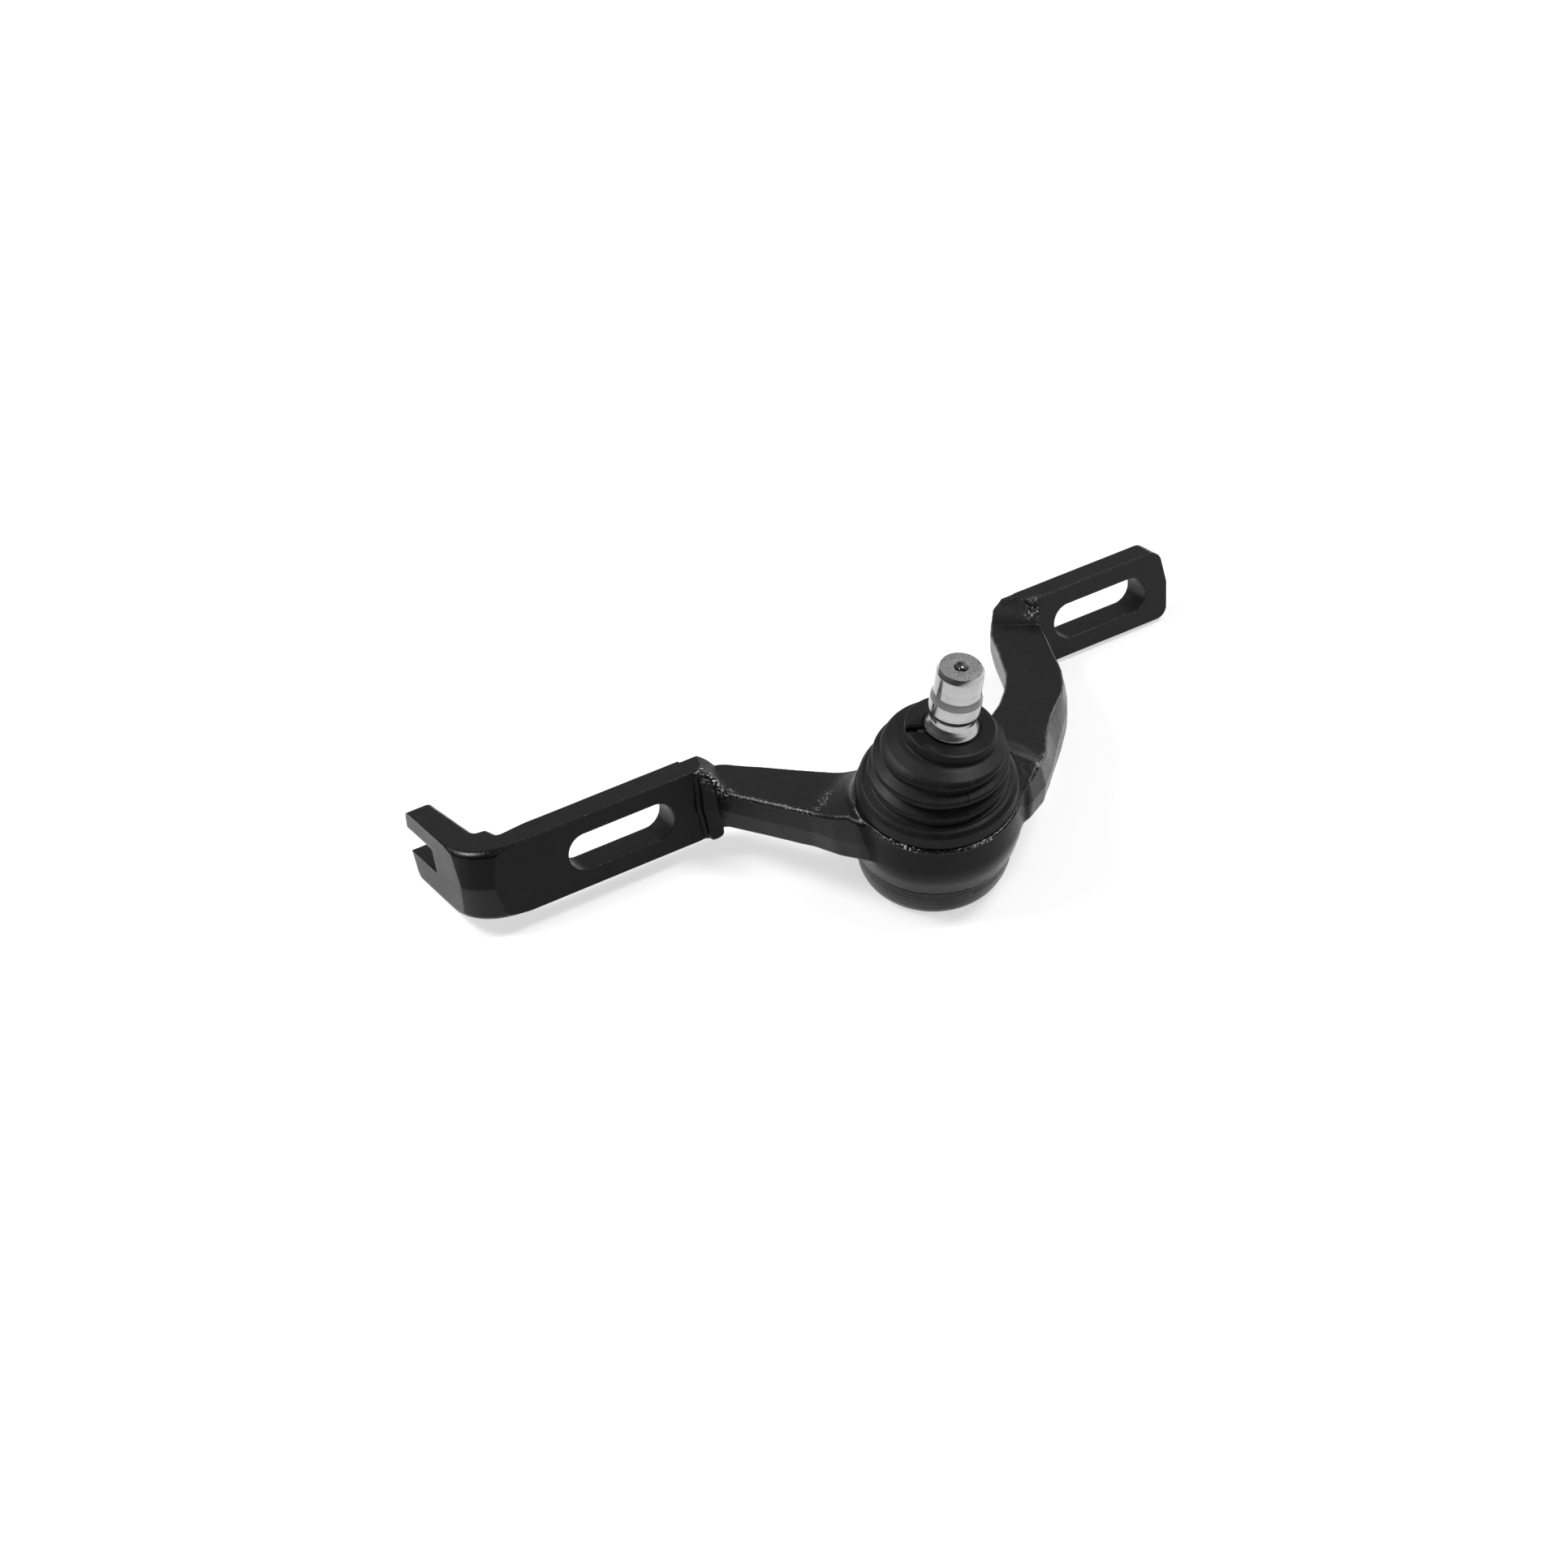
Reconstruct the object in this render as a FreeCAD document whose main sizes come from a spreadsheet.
import FreeCAD, Part
import math
import os
import Sketcher
from FreeCAD import Vector

# Outer half of an adjustable upper control arm with its ball joint.
# Frame: millimetres, origin at the ball centre, which lies on the forging's
# parting plane (z = 0).  X runs along the two slotted plates, left being -X, Y points
# from the ball joint (front) back to the plates, Z is up along the plates' height.
# The ball housing is tilted out of Z; the stud leans a little off the housing axis.

doc = FreeCAD.newDocument("control_arm")

# ------------------------------------------------------------------ directions
HOUSING_AXIS = Vector(-0.0768, -0.3628, 0.9287).normalize()
STUD_AXIS = Vector(0.078, -0.338, 0.938).normalize()

# ------------------------------------------------------------------ dimensions
# A text value starting with "=" is a sheet formula.
DIMS = {
    # left plate, its hook and the block at the end nearest the housing
    "left_plate_front_y": 67.2, "left_plate_back_y": 79.9, "left_plate_half_height": 14.4,
    "left_plate_inner_x": -57.0, "left_plate_edge_fillet": 1.0,
    "left_block_outer_x": -66.3, "left_block_front_y": 63.2, "left_block_width": 9.3,
    "left_block_fillet": 2.6,
    "hook_outer_x": -159.8, "hook_inner_x": -148.9, "hook_end_y": 122.6, "bend_radius": 22.6,
    "hook_boss_x": -142.0, "hook_boss_y": 85.5, "hook_end_fillet": 3.2, "hook_boss_fillet": 2.2,
    # right plate and its block
    "right_plate_front_y": 92.9, "right_plate_back_y": 105.5, "right_plate_half_height": 14.8,
    "right_plate_start_x": 99.5, "right_plate_end_x": 168.6, "right_plate_end_top_x": 166.6,
    "right_plate_nose_fillet": 12.0, "right_plate_corner_fillet": 4.2,
    "right_block_before": 2.6, "right_block_after": 7.0, "right_block_front_step": 3.2,
    "right_block_fillet": 2.4,
    # slots and hook notch; an overshoot carries a cutter clear of the metal
    "slot_half_width": 7.5, "slot_arc_spacing": 29.6, "slot_left_x": -97.3,
    "slot_right_x": 136.0, "slot_overshoot": 4.0,
    "notch_bottom_z": -3.7, "notch_height": 10.5, "notch_end_y": 100.2, "notch_fillet": 1.4,
    "notch_overshoot_x": 5.0, "notch_overshoot_y": 10.0,
    # arms and the webs at their roots
    "arm_half_height": 7.75, "arm_draft": -6.0, "root_half_height": 34.0,
    "right_root_radius": 44.0, "right_root_rim_radius": 34.0,
    "left_root_radius": 34.6, "left_root_rim_radius": 30.6,
    "root_belt_top": 2.0, "root_belt_low": -3.0, "root_low_inset": 1.3,
    # housing, heights along the housing axis from the ball centre
    "rim_height": 11.7, "rim_radius": 30.2, "rim_chamfer": 0.7,
    "belt_radius": 32.1, "belt_height": -0.9,
    "step_height": -11.85, "step_radius": 31.2, "step_half_ledge": 0.5,
    "ring_radius": 29.6, "lip_bend_height": -18.6,
    "lip_height": -25.0, "lip_outer_radius": 27.0, "lip_inner_radius": 21.8,
    "spigot_radius": 25.0, "spigot_height": 16.5, "spigot_chamfer": 0.6,
    "mouth_top_radius": 18.2, "mouth_low_radius": 15.6, "mouth_low_height": 9.4,
    "socket_radius": 22.5, "socket_height": 5.5, "bore_overshoot": 2.0,
    "cover_bore_radius": 24.5, "cover_bore_height": -20.55, "cover_low_height": -23.2,
    # ball stud, lengths along the stud axis from the ball centre
    "ball_radius": 15.5, "ball_flat": -14.2, "neck_radius": 7.5,
    "ball_flat_radius": "=sqrt(ball_radius ^ 2 - ball_flat ^ 2)",
    "neck_start": "=sqrt(ball_radius ^ 2 - neck_radius ^ 2)", "neck_end": 24.0,
    "skirt_radius": 10.0, "skirt_start": 35.0, "skirt_end": 41.6,
    "bell_mid_radius": 9.0, "bell_mid": 44.3,
    "groove_radius": 8.45, "groove_start": 47.4, "groove_end": 49.6,
    "collar_radius": 9.5, "collar_start": 50.0, "collar_end": 55.7,
    "stud_radius": 8.6, "stud_cyl_start": 58.4, "stud_cyl_end": 67.4,
    "stud_end": 69.4, "stud_end_radius": 7.5,
    "centre_hole_radius": 1.6, "centre_sink_radius": 2.7, "centre_sink_depth": 1.9,
    "centre_hole_depth": 6.5, "centre_tip_depth": 0.9,
    # ball seats; the formulas put their inner corners on the seat sphere
    "seat_sphere_radius": 15.55, "race_radius": 22.45, "race_low": -1.0,
    "race_shoulder": 5.4, "race_top": 9.25, "race_top_outer": 15.75,
    "race_top_inner": 13.6, "race_mouth_radius": 13.2,
    "race_mouth_height": "=sqrt(seat_sphere_radius ^ 2 - race_mouth_radius ^ 2)",
    "race_edge_radius": "=sqrt(seat_sphere_radius ^ 2 - race_low ^ 2)",
    "seat_radius": 22.3, "seat_top": -2.5, "seat_bottom": -18.0, "seat_hole_radius": 4.2,
    "seat_edge_radius": "=sqrt(seat_sphere_radius ^ 2 - seat_top ^ 2)",
    "seat_hole_height": "=0 - sqrt(seat_sphere_radius ^ 2 - seat_hole_radius ^ 2)",
    # spring and cover
    "spring_inner": 8.0, "spring_outer": 19.0, "spring_top": -18.05, "spring_thick": 1.15,
    "spring_drop": 1.3,
    "cover_radius": 24.4, "cover_top": -20.6, "cover_thick": 2.55, "dish_radius": 9.6,
    "dish_flat_radius": 6.9, "dish_rise": 1.45, "thread_radius": 3.0,
    # grease fitting
    "fitting_shank_radius": 2.95, "fitting_top": -17.6, "fitting_flange": -21.72,
    "fitting_hex_flats": 8.0, "fitting_hex_low": -24.0, "fitting_neck_radius": 2.1,
    "fitting_head_radius": 3.1, "fitting_tip": -28.9, "fitting_bore_radius": 1.35,
    "fitting_mouth_radius": 0.8,
    "hex_overlap": 0.2, "hex_bore_overshoot": 4.0, "hex_bore_length": 12.0,
    "check_ball_radius": 1.15, "check_ball_height": -26.85, "check_spring_radius": 1.05,
    "check_wire_radius": 0.16, "check_spring_length": 6.2, "check_spring_turns": 7,
    "check_spring_gap": 0.25,
    # boot rings
    "boot_ring_inner": 25.05, "boot_ring_outer": 26.6,
    "boot_ring_low": 12.3, "boot_ring_high": 17.4,
    "top_ring_inner": 10.12, "top_ring_outer": 12.4,
    "top_ring_low": 36.6, "top_ring_high": 40.2,
}

# Arm outlines on the parting plane: (x, y), from the plate to the housing and back.
RIGHT_ARM_POINTS = [
    (107.0, 93.4), (102.4, 84.0), (97.0, 70.2), (92.0, 57.8), (87.6, 46.8), (82.6, 37.4),
    (77.0, 28.6), (69.6, 18.8), (61.2, 8.2), (51.0, -5.0), (38.0, -14.0), (16.0, -6.0),
    (2.0, 12.0), (22.0, 26.0), (43.6, 33.2), (53.0, 40.2), (61.2, 48.6), (69.0, 59.6),
    (76.9, 77.6), (84.0, 93.6), (87.6, 101.6), (92.6, 105.5), (107.0, 105.5)]
LEFT_ARM_POINTS = [
    (-66.0, 66.0), (-62.4, 62.6), (-59.4, 56.0), (-53.3, 42.8), (-48.8, 32.4), (-42.4, 19.0),
    (-39.4, 8.0), (-34.0, -4.0), (-22.0, -12.0), (-4.0, -2.0), (-2.0, 20.0), (-15.6, 35.8),
    (-24.8, 47.4), (-36.6, 63.8), (-47.4, 77.8), (-51.6, 80.0), (-66.0, 79.9)]

# Boot sections, base to top: (radius, height along the section's own axis).
BOOT_OUTER_POINTS = [
    (29.75, 11.95), (29.75, 12.9), (29.3, 17.8), (28.4, 18.5), (26.2, 18.9), (24.3, 20.2),
    (25.5, 22.6), (22.8, 25.2), (24.9, 27.8), (21.2, 30.6), (22.6, 33.4), (21.8, 34.4),
    (16.4, 36.4), (16.9, 37.4), (16.9, 41.0), (16.3, 41.3)]
BOOT_INNER_POINTS = [
    (26.7, 10.5), (26.7, 17.6), (23.0, 18.2), (21.8, 20.0), (23.2, 22.6), (20.4, 25.2),
    (22.6, 27.8), (18.8, 30.6), (20.2, 33.2), (15.5, 34.9), (12.5, 36.35), (12.5, 40.35),
    (10.35, 40.4), (10.35, 42.5)]

# Turn of the boot: (height, share of the way from the housing axis to the stud axis).
LEAN_STATIONS = [
    (0.0, 0.0), (18.9, 0.0), (22.6, 0.08), (27.3, 0.26), (30.5, 0.38), (33.6, 0.52),
    (35.2, 0.8), (36.3, 1.0), (60.0, 1.0)]

sheet = doc.addObject("Spreadsheet::Sheet", "Dims")
aliases = []


def add_dim(name, value):
    """Writes one named value to the next row of the sheet."""
    row = len(aliases) + 1
    sheet.set(f"A{row}", name)
    sheet.set(f"B{row}", str(value))
    sheet.setAlias(f"B{row}", name)
    aliases.append(name)


def add_table(prefix, points):
    """Writes a list of points to the sheet and returns their pairs of aliases."""
    pairs = []
    for k, point in enumerate(points, start=1):
        pair = tuple(f"{prefix}_p{k:02d}_{axis}" for axis in "xy")
        for alias, value in zip(pair, point):
            add_dim(alias, value)
        pairs.append(pair)
    return pairs


for name, value in DIMS.items():
    add_dim(name, value)
RIGHT_ARM = add_table("right_arm", RIGHT_ARM_POINTS)
LEFT_ARM = add_table("left_arm", LEFT_ARM_POINTS)
BOOT_OUTER = add_table("boot_outer", BOOT_OUTER_POINTS)
BOOT_INNER = add_table("boot_inner", BOOT_INNER_POINTS)
doc.recompute()


# ------------------------------------------------------------------ sheet expressions
# Expressions are written with bare aliases and a space between all terms.
def dim(name):
    return float(sheet.get(name))


def sheet_expression(text):
    """Puts the sheet's name in front of each alias."""
    return " ".join("Dims." + term if term in aliases else term for term in text.split())


def drive(obj, prop, text):
    obj.setExpression(prop, sheet_expression(text))


def value_of(text):
    """Number behind an expression that only adds and subtracts."""
    total, sign = 0.0, 1.0
    for term in text.split():
        if term in ("+", "-"):
            sign = 1.0 if term == "+" else -1.0
        else:
            total += sign * (dim(term) if term in aliases else float(term))
            sign = 1.0
    return total


# ------------------------------------------------------------------ sketches
def bind(sketch, kind, side, vertex, text):
    """A distance from the sketch origin to a point, driven by the sheet."""
    distance = Sketcher.Constraint(kind, -1, 1, side, vertex, value_of(text))
    index = sketch.addConstraint(distance)
    drive(sketch, f"Constraints[{index}]", text)


def outline(sketch, points, arcs=()):
    """Closed outline through pairs of expressions.  A side listed in arcs is part of a circle
    about the sketch origin; its far end has only its height driven."""
    places = [(value_of(across), value_of(up)) for across, up in points]
    count = len(points)
    vertices = []       # vertex numbers of each side's start and end
    for k, start in enumerate(places):
        end = places[(k + 1) % count]
        if k in arcs:
            circle = Part.Circle(Vector(0, 0, 0), Vector(0, 0, 1), math.hypot(*start))
            from_angle = math.atan2(start[1], start[0])
            to_angle = math.atan2(end[1], end[0])
            side = Part.ArcOfCircle(circle, min(from_angle, to_angle), max(from_angle, to_angle))
            vertices.append((1, 2) if to_angle > from_angle else (2, 1))
        else:
            side = Part.LineSegment(Vector(*start, 0), Vector(*end, 0))
            vertices.append((1, 2))
        sketch.addGeometry(side, False)
    for k in range(count):
        following = (k + 1) % count
        sketch.addConstraint(Sketcher.Constraint(
            "Coincident", k, vertices[k][1], following, vertices[following][0]))
    for k in sorted(arcs):
        sketch.addConstraint(Sketcher.Constraint("Coincident", k, 3, -1, 1))
    for k, (across, up) in enumerate(points):
        if (k - 1) % count not in arcs:
            bind(sketch, "DistanceX", k, vertices[k][0], across)
        bind(sketch, "DistanceY", k, vertices[k][0], up)


# ------------------------------------------------------------------ solids
def placed(axis, distance=0.0):
    """Placement that turns Z to an axis and moves along it."""
    return FreeCAD.Placement(axis * distance, FreeCAD.Rotation(Vector(0, 0, 1), axis))


def turned(label, axis, points, arcs=()):
    """A piece turned about an axis from (radius, height) expressions."""
    body = doc.addObject("PartDesign::Body", label)
    sketch = body.newObject("Sketcher::SketchObject", label + "_section")
    plane = next(f for f in body.Origin.OriginFeatures if f.Role == "XZ_Plane")
    sketch.AttachmentSupport = [(plane, "")]
    sketch.MapMode = "FlatFace"
    outline(sketch, points, arcs)
    doc.recompute()
    turn = body.newObject("PartDesign::Revolution", label + "_turn")
    turn.Profile = sketch
    turn.ReferenceAxis = (sketch, ["V_Axis"])
    turn.Angle = 360.0
    body.Tip = turn
    sketch.Visibility = False
    body.Placement = placed(axis)
    doc.recompute()
    return body


def extruded(label, points, forward, backward, upright=False, draft=None):
    """Extrusion both ways along Z, or along Y from an upright XZ outline."""
    sketch = doc.addObject("Sketcher::SketchObject", label + "_outline")
    if upright:
        sketch.Placement = FreeCAD.Placement(
            Vector(0, 0, 0), FreeCAD.Rotation(Vector(1, 0, 0), 90))
    outline(sketch, points)
    doc.recompute()
    solid = doc.addObject("Part::Extrusion", label + "_blank")
    solid.Base = sketch
    solid.DirMode = "Custom"
    solid.Dir = Vector(0, 1, 0) if upright else Vector(0, 0, 1)
    drive(solid, "LengthFwd", forward)
    drive(solid, "LengthRev", backward)
    solid.Solid = True
    if draft:
        drive(solid, "TaperAngle", draft)
        drive(solid, "TaperAngleRev", draft)
    doc.recompute()
    return solid


def box(label, *spans):
    """Box between pairs of expressions along x, y and z."""
    solid = doc.addObject("Part::Box", label)
    for axis, size, (low, high) in zip("xyz", ("Length", "Width", "Height"), spans):
        drive(solid, "Placement.Base." + axis, low)
        drive(solid, size, f"( {high} ) - ( {low} )")
    doc.recompute()
    return solid


def fuse(label, *parts):
    solid = doc.addObject("Part::MultiFuse", label)
    solid.Shapes = list(parts)
    solid.Refine = True
    doc.recompute()
    return solid


def cut(label, base, tool):
    solid = doc.addObject("Part::Cut", label)
    solid.Base = base
    solid.Tool = tool
    solid.Refine = True
    doc.recompute()
    return solid


def common(label, base, tool):
    solid = doc.addObject("Part::Common", label)
    solid.Base = base
    solid.Tool = tool
    doc.recompute()
    return solid


# ------------------------------------------------------------------ fillets
def fillet(label, base, alias_for):
    """Fillets each edge for which alias_for(edge) names a radius."""
    picks = []
    for k, edge in enumerate(base.Shape.Edges, start=1):
        alias = alias_for(edge)
        if alias:
            picks.append((k, dim(alias), dim(alias)))
    solid = doc.addObject("Part::Fillet", label)
    solid.Base = base
    solid.Edges = picks
    base.Visibility = False
    doc.recompute()
    return solid


def ends(edge):
    return edge.Vertexes[0].Point, edge.Vertexes[1].Point


def near(value, alias):
    return abs(value - dim(alias)) < 1e-3


def vertical(edge):
    a, b = ends(edge)
    return abs(a.x - b.x) < 1e-4 and abs(a.y - b.y) < 1e-4 and abs(a.z - b.z) > 1.0


# ================================================================== forging
def make_left_plate():
    """Left plate with the hook at its outer end."""
    blank = extruded("left_plate", [
        ("left_plate_inner_x", "left_plate_front_y"),
        ("hook_outer_x", "left_plate_front_y"),
        ("hook_outer_x", "hook_end_y"),
        ("hook_inner_x", "hook_end_y"),
        ("hook_inner_x", "hook_boss_y"),
        ("hook_boss_x", "hook_boss_y"),
        ("hook_boss_x", "left_plate_back_y"),
        ("left_plate_inner_x", "left_plate_back_y")],
        "left_plate_half_height", "left_plate_half_height")

    def corner(edge):
        if not vertical(edge):
            return None
        point = ends(edge)[0]
        if near(point.x, "hook_outer_x") and near(point.y, "left_plate_front_y"):
            return "bend_radius"
        if near(point.y, "hook_end_y"):
            return "hook_end_fillet"
        if near(point.x, "hook_boss_x") and near(point.y, "hook_boss_y"):
            return "hook_boss_fillet"
        return None

    def long_edge(edge):
        """Top and bottom edges of the hook and of the plate's back face."""
        bounds = edge.BoundBox
        back = dim("left_plate_back_y")
        flat = abs(bounds.ZMax - bounds.ZMin) < 1e-4
        on_back = bounds.YMax - back < 1e-3 and bounds.YMin > back - 1e-3
        if flat and (bounds.YMin > back + 1 or on_back):
            return "left_plate_edge_fillet"
        return None

    rounded = fillet("left_plate_rounded", blank, corner)
    return fillet("left_plate_edges", rounded, long_edge)


def make_left_block():
    """Thicker block that joins the left plate to its arm."""
    block = box(
        "left_block",
        ("left_block_outer_x", "left_block_outer_x + left_block_width"),
        ("left_block_front_y", "left_plate_back_y"),
        ("0 - left_plate_half_height", "left_plate_half_height"))

    def front_corner(edge):
        if vertical(edge) and ends(edge)[0].y < dim("left_block_front_y") + 1:
            return "left_block_fillet"
        return None

    return fillet("left_block_rounded", block, front_corner)


def make_right_plate():
    """Right plate, its outer end drafted both ways from the parting plane."""
    blank = extruded("right_plate", [
        ("right_plate_start_x", "right_plate_half_height"),
        ("right_plate_end_top_x", "right_plate_half_height"),
        ("right_plate_end_x", "0"),
        ("right_plate_end_top_x", "0 - right_plate_half_height"),
        ("right_plate_start_x", "0 - right_plate_half_height")],
        "right_plate_back_y", "0 - right_plate_front_y", upright=True)

    def end_edge(edge):
        a, b = ends(edge)
        if abs(a.y - b.y) > 5 and a.x > 160:
            on_parting = abs(a.z) < 1
            return "right_plate_nose_fillet" if on_parting else "right_plate_corner_fillet"
        return None

    return fillet("right_plate_rounded", blank, end_edge)


def make_right_block():
    """Thicker block that joins the right plate to its arm."""
    block = box(
        "right_block",
        ("right_plate_start_x - right_block_before", "right_plate_start_x + right_block_after"),
        ("right_plate_front_y - right_block_front_step", "right_plate_back_y"),
        ("0 - right_plate_half_height", "right_plate_half_height"))
    return fillet("right_block_rounded", block,
                  lambda edge: "right_block_fillet" if vertical(edge) else None)


def make_arm(side, points):
    """An arm, drafted both ways from the parting plane."""
    return extruded(side + "_arm", points, "arm_half_height", "arm_half_height",
                    draft="arm_draft")


def make_root(side, points):
    """Web where an arm grows to the housing's height: a turned collar within the arm outline."""
    radius, rim_radius = side + "_root_radius", side + "_root_rim_radius"
    low = "step_height + root_low_inset"
    prism = extruded(side + "_root", points, "root_half_height", "root_half_height")
    cone = turned(side + "_root_cone", HOUSING_AXIS, [
        ("0", "rim_height"), (rim_radius, "rim_height"), (radius, "root_belt_top"),
        (radius, "root_belt_low"), (rim_radius, low), ("0", low)])
    return common(side + "_root_web", cone, prism)


# Bare numbers in the turned outlines are small steps that shape a corner.
def make_housing():
    """Spigot for the boot, drafted belt, lower ring and rolled lip, from the top down."""
    return turned("housing_outer", HOUSING_AXIS, [
        ("0", "spigot_height"),
        ("spigot_radius - spigot_chamfer", "spigot_height"),
        ("spigot_radius", "spigot_height - spigot_chamfer"),
        ("spigot_radius", "rim_height"),
        ("rim_radius - rim_chamfer", "rim_height"),
        ("rim_radius", "rim_height - rim_chamfer"),
        ("belt_radius", "belt_height"),
        ("step_radius + step_half_ledge", "step_height"),
        ("step_radius - step_half_ledge", "step_height"),
        ("step_radius - step_half_ledge", "step_height - 0.7"),
        ("ring_radius + 0.2", "step_height - 0.9"),
        ("ring_radius + 0.2", "step_height - 3.2"),
        ("ring_radius", "step_height - 3.4"),
        ("ring_radius", "lip_bend_height"),
        ("ring_radius - 0.5", "lip_bend_height - 2.6"),
        ("ring_radius - 1.4", "lip_bend_height - 4.6"),
        ("lip_outer_radius", "lip_height + 0.4"),
        ("lip_outer_radius - 1.1", "lip_height"),
        ("0", "lip_height")])


def make_bore():
    """Cutter for the stud mouth, the socket and the cover recess, from the top down."""
    return turned("housing_bore", HOUSING_AXIS, [
        ("0", "spigot_height + bore_overshoot"),
        ("mouth_top_radius + 0.8", "spigot_height + bore_overshoot"),
        ("mouth_top_radius", "spigot_height"),
        ("mouth_low_radius", "mouth_low_height"),
        ("socket_radius", "socket_height"),
        ("socket_radius", "cover_bore_height"),
        ("cover_bore_radius", "cover_bore_height"),
        ("cover_bore_radius", "cover_low_height"),
        ("lip_inner_radius", "cover_low_height"),
        ("lip_inner_radius + 0.6", "lip_height - bore_overshoot"),
        ("0", "lip_height - bore_overshoot")])


def make_slot(side):
    """Cutter for the round-ended slot through a plate, along Y."""
    label = side + "_slot_cutter"
    front, back = side + "_plate_front_y", side + "_plate_back_y"
    left_centre = f"slot_{side}_x - slot_arc_spacing / 2"
    right_centre = f"slot_{side}_x + slot_arc_spacing / 2"
    parts = []
    for tag, centre in (("a", left_centre), ("b", right_centre)):
        end = doc.addObject("Part::Cylinder", f"{label}_end_{tag}")
        drive(end, "Radius", "slot_half_width")
        drive(end, "Height", f"{back} - {front} + 2 * slot_overshoot")
        end.Placement = FreeCAD.Placement(
            Vector(0, 0, 0), FreeCAD.Rotation(Vector(1, 0, 0), -90))
        drive(end, "Placement.Base.x", centre)
        drive(end, "Placement.Base.y", f"{front} - slot_overshoot")
        parts.append(end)
    parts.append(box(
        label + "_middle",
        (left_centre, right_centre),
        (f"{front} - slot_overshoot", f"{back} + slot_overshoot"),
        ("0 - slot_half_width", "slot_half_width")))
    return fuse(label, *parts)


def make_notch():
    """Cutter that forks the hook, rounded where it ends."""
    blank = box(
        "hook_notch_cutter",
        ("hook_outer_x - notch_overshoot_x", "hook_inner_x + notch_overshoot_x"),
        ("notch_end_y", "hook_end_y + notch_overshoot_y"),
        ("notch_bottom_z", "notch_bottom_z + notch_height"))

    def closed_end(edge):
        a, b = ends(edge)
        if abs(a.x - b.x) > 5 and near(a.y, "notch_end_y"):
            return "notch_fillet"
        return None

    return fillet("hook_notch_rounded", blank, closed_end)


forging_blank = fuse(
    "forging_blank", make_left_plate(), make_left_block(), make_right_plate(),
    make_right_block(), make_arm("right", RIGHT_ARM), make_arm("left", LEFT_ARM),
    make_root("right", RIGHT_ARM), make_root("left", LEFT_ARM), make_housing())
forging_cutters = fuse(
    "forging_cutters", make_bore(), make_slot("left"), make_slot("right"), make_notch())
arm_forging = cut("arm_forging", forging_blank, forging_cutters)

# ================================================================== ball joint
# Ball, neck, flared skirt, groove, collar and plain end with a centre hole.
ball_stud = turned("ball_stud", STUD_AXIS, [
    ("0", "ball_flat"), ("ball_flat_radius", "ball_flat"),
    ("neck_radius", "neck_start"), ("neck_radius", "neck_end"),
    ("skirt_radius - 0.3", "skirt_start - 1"), ("skirt_radius", "skirt_start"),
    ("skirt_radius", "skirt_end"), ("bell_mid_radius", "bell_mid"),
    ("groove_radius", "groove_start"), ("groove_radius", "groove_end"),
    ("collar_radius - 0.4", "groove_end"), ("collar_radius", "collar_start"),
    ("collar_radius", "collar_end"), ("stud_radius", "stud_cyl_start"),
    ("stud_radius", "stud_cyl_end"), ("stud_end_radius", "stud_end"),
    ("centre_sink_radius", "stud_end"),
    ("centre_hole_radius", "stud_end - centre_sink_depth"),
    ("centre_hole_radius", "stud_end - centre_hole_depth"),
    ("0", "stud_end - centre_hole_depth - centre_tip_depth")], arcs=(1,))

upper_race = turned("upper_race", HOUSING_AXIS, [
    ("race_mouth_radius", "race_mouth_height"), ("race_edge_radius", "race_low"),
    ("race_radius", "race_low"), ("race_radius", "race_shoulder"),
    ("race_top_outer", "race_top"), ("race_top_inner", "race_top")], arcs=(0,))

lower_seat = turned("lower_seat", HOUSING_AXIS, [
    ("seat_edge_radius", "seat_top"), ("seat_hole_radius", "seat_hole_height"),
    ("seat_hole_radius", "seat_bottom"), ("seat_radius - 2.5", "seat_bottom"),
    ("seat_radius", "seat_bottom + 2.2"), ("seat_radius", "seat_top")], arcs=(0,))

# Conical washer between the lower seat and the cover.
preload_spring = turned("preload_spring", HOUSING_AXIS, [
    ("spring_inner", "spring_top"),
    ("spring_inner", "spring_top - spring_thick"),
    ("spring_outer", "spring_top - spring_thick - spring_drop"),
    ("spring_outer", "spring_top - spring_drop")])

# Cover with a raised middle around the grease fitting.
cover_plate = turned("cover_plate", HOUSING_AXIS, [
    ("thread_radius", "cover_top + dish_rise"),
    ("dish_flat_radius", "cover_top + dish_rise"),
    ("dish_radius - 1.6", "cover_top"),
    ("cover_radius", "cover_top"),
    ("cover_radius", "cover_top - cover_thick"),
    ("dish_radius + 0.2", "cover_top - cover_thick"),
    ("dish_flat_radius + 1.2", "cover_top + dish_rise - cover_thick"),
    ("thread_radius", "cover_top + dish_rise - cover_thick")])


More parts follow.
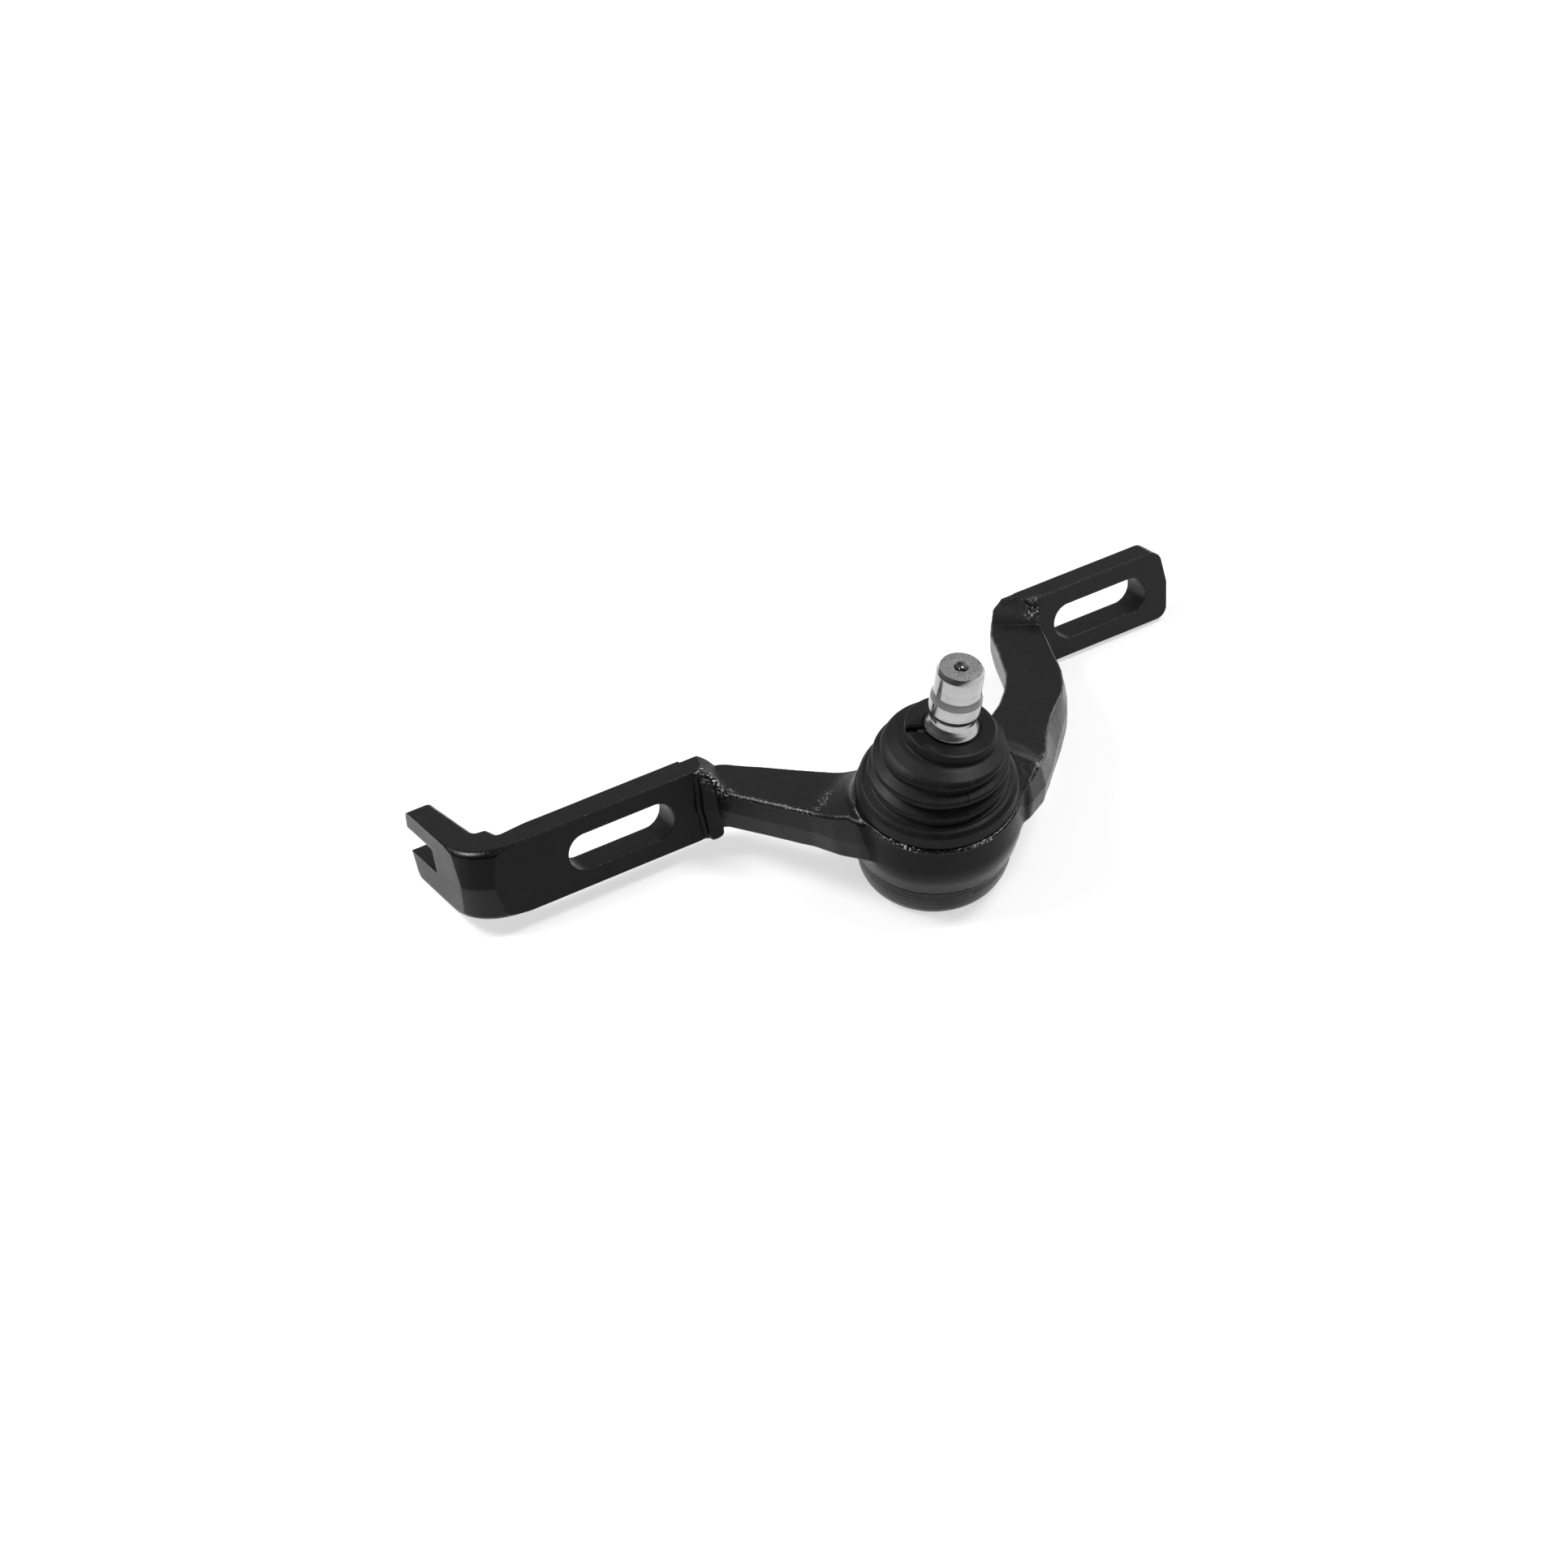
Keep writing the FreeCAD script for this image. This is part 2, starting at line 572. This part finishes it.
# ================================================================== grease fitting
def make_grease_fitting():
    """Turned shank and nipple with a hexagon between them."""
    core = turned("fitting_turned", HOUSING_AXIS, [
        ("fitting_bore_radius", "fitting_top"),
        ("fitting_shank_radius", "fitting_top"),
        ("fitting_shank_radius", "fitting_hex_low - 0.1"),
        ("fitting_neck_radius + 0.5", "fitting_hex_low - 0.2"),
        ("fitting_neck_radius", "fitting_hex_low - 1.1"),
        ("fitting_neck_radius", "fitting_hex_low - 1.8"),
        ("fitting_head_radius", "fitting_tip + 2.1"),
        ("fitting_head_radius", "fitting_tip + 1.5"),
        ("fitting_mouth_radius + 0.4", "fitting_tip"),
        ("fitting_mouth_radius", "fitting_tip"),
        ("fitting_mouth_radius", "fitting_tip + 1.1"),
        ("fitting_bore_radius", "fitting_tip + 1.7")])
    hexagon = doc.addObject("Part::Prism", "fitting_hexagon")
    hexagon.Polygon = 6
    drive(hexagon, "Circumradius", "fitting_hex_flats / 2 / cos(30)")
    drive(hexagon, "Height", "fitting_flange - fitting_hex_low")
    hexagon.Placement = placed(HOUSING_AXIS, dim("fitting_hex_low"))
    # The ring's bore is smaller than the shank, so the two overlap and fuse.
    bore = doc.addObject("Part::Cylinder", "fitting_hexagon_bore")
    drive(bore, "Radius", "fitting_shank_radius - hex_overlap")
    drive(bore, "Height", "hex_bore_length")
    bore.Placement = placed(HOUSING_AXIS, value_of("fitting_hex_low - hex_bore_overshoot"))
    doc.recompute()
    return fuse("grease_fitting", core, cut("fitting_hexagon_ring", hexagon, bore))


def make_check_ball():
    ball = doc.addObject("Part::Sphere", "fitting_check_ball")
    drive(ball, "Radius", "check_ball_radius")
    ball.Placement = FreeCAD.Placement(
        HOUSING_AXIS * dim("check_ball_height"), FreeCAD.Rotation())
    return ball


def make_check_spring():
    """Coil spring just above the check ball."""
    helix = doc.addObject("Part::Helix", "check_spring_path")
    drive(helix, "Radius", "check_spring_radius")
    drive(helix, "Height", "check_spring_length")
    drive(helix, "Pitch", "check_spring_length / check_spring_turns")
    wire = doc.addObject("Part::Circle", "check_spring_wire")
    drive(wire, "Radius", "check_wire_radius")
    wire.Placement = FreeCAD.Placement(
        Vector(dim("check_spring_radius"), 0, 0), FreeCAD.Rotation(Vector(1, 0, 0), 90))
    coil = doc.addObject("Part::Sweep", "fitting_check_spring")
    coil.Sections = [wire]
    coil.Spine = (helix, [])
    coil.Solid = True
    coil.Frenet = True
    doc.recompute()
    coil.Placement = placed(
        HOUSING_AXIS, value_of("check_ball_height + check_ball_radius + check_spring_gap"))
    return coil


grease_fitting = make_grease_fitting()
fitting_check_ball = make_check_ball()
fitting_check_spring = make_check_spring()


# ================================================================== dust boot
def make_boot_ring(label, axis, prefix):
    """Stiffening ring of rectangular section."""
    inner, outer, low, high = (f"{prefix}_{end}" for end in ("inner", "outer", "low", "high"))
    return turned(label, axis, [(inner, low), (outer, low), (outer, high), (inner, high)])


def lean(height):
    """How far a section has turned from the housing axis to the stud axis."""
    for (low, low_share), (high, high_share) in zip(LEAN_STATIONS, LEAN_STATIONS[1:]):
        if height <= high:
            return low_share + (high_share - low_share) * (height - low) / (high - low)
    return 1.0


def bellows(label, points):
    """Ruled loft through circles that turn gradually to the stud axis."""
    rings = []
    for k, (radius, height_alias) in enumerate(points, start=1):
        height = dim(height_alias)
        share = lean(height)
        axis = HOUSING_AXIS * (1 - share) + STUD_AXIS * share
        axis.normalize()
        ring = doc.addObject("Part::Circle", f"{label}_section_{k:02d}")
        drive(ring, "Radius", radius)
        ring.Placement = placed(axis, height)
        rings.append(ring)
    doc.recompute()
    loft = doc.addObject("Part::Loft", label)
    loft.Sections = rings
    loft.Solid = True
    loft.Ruled = True
    doc.recompute()
    return loft


boot_base_ring = make_boot_ring("boot_base_ring", HOUSING_AXIS, "boot_ring")
boot_top_ring = make_boot_ring("boot_top_ring", STUD_AXIS, "top_ring")
dust_boot = cut("dust_boot", bellows("boot_outside", BOOT_OUTER),
                bellows("boot_inside", BOOT_INNER))

# ================================================================== check and write
NODES = {
    "arm_forging": arm_forging, "ball_stud": ball_stud, "upper_race": upper_race,
    "lower_seat": lower_seat, "preload_spring": preload_spring, "cover_plate": cover_plate,
    "grease_fitting": grease_fitting, "fitting_check_ball": fitting_check_ball,
    "fitting_check_spring": fitting_check_spring, "boot_base_ring": boot_base_ring,
    "boot_top_ring": boot_top_ring, "dust_boot": dust_boot,
}
doc.recompute()
for obj in doc.Objects:
    bad = [state for state in obj.State if state in ("Invalid", "Error")]
    if bad:
        raise RuntimeError(f"{obj.Name} is {bad}")
for label, obj in NODES.items():
    obj.Label = label
    shape = obj.Shape
    if shape.isNull() or not shape.isValid() or not shape.Solids:
        raise RuntimeError("bad shape: " + label)

os.makedirs("parts", exist_ok=True)
for label, obj in NODES.items():
    obj.Shape.exportStep(os.path.join("parts", label + ".step"))
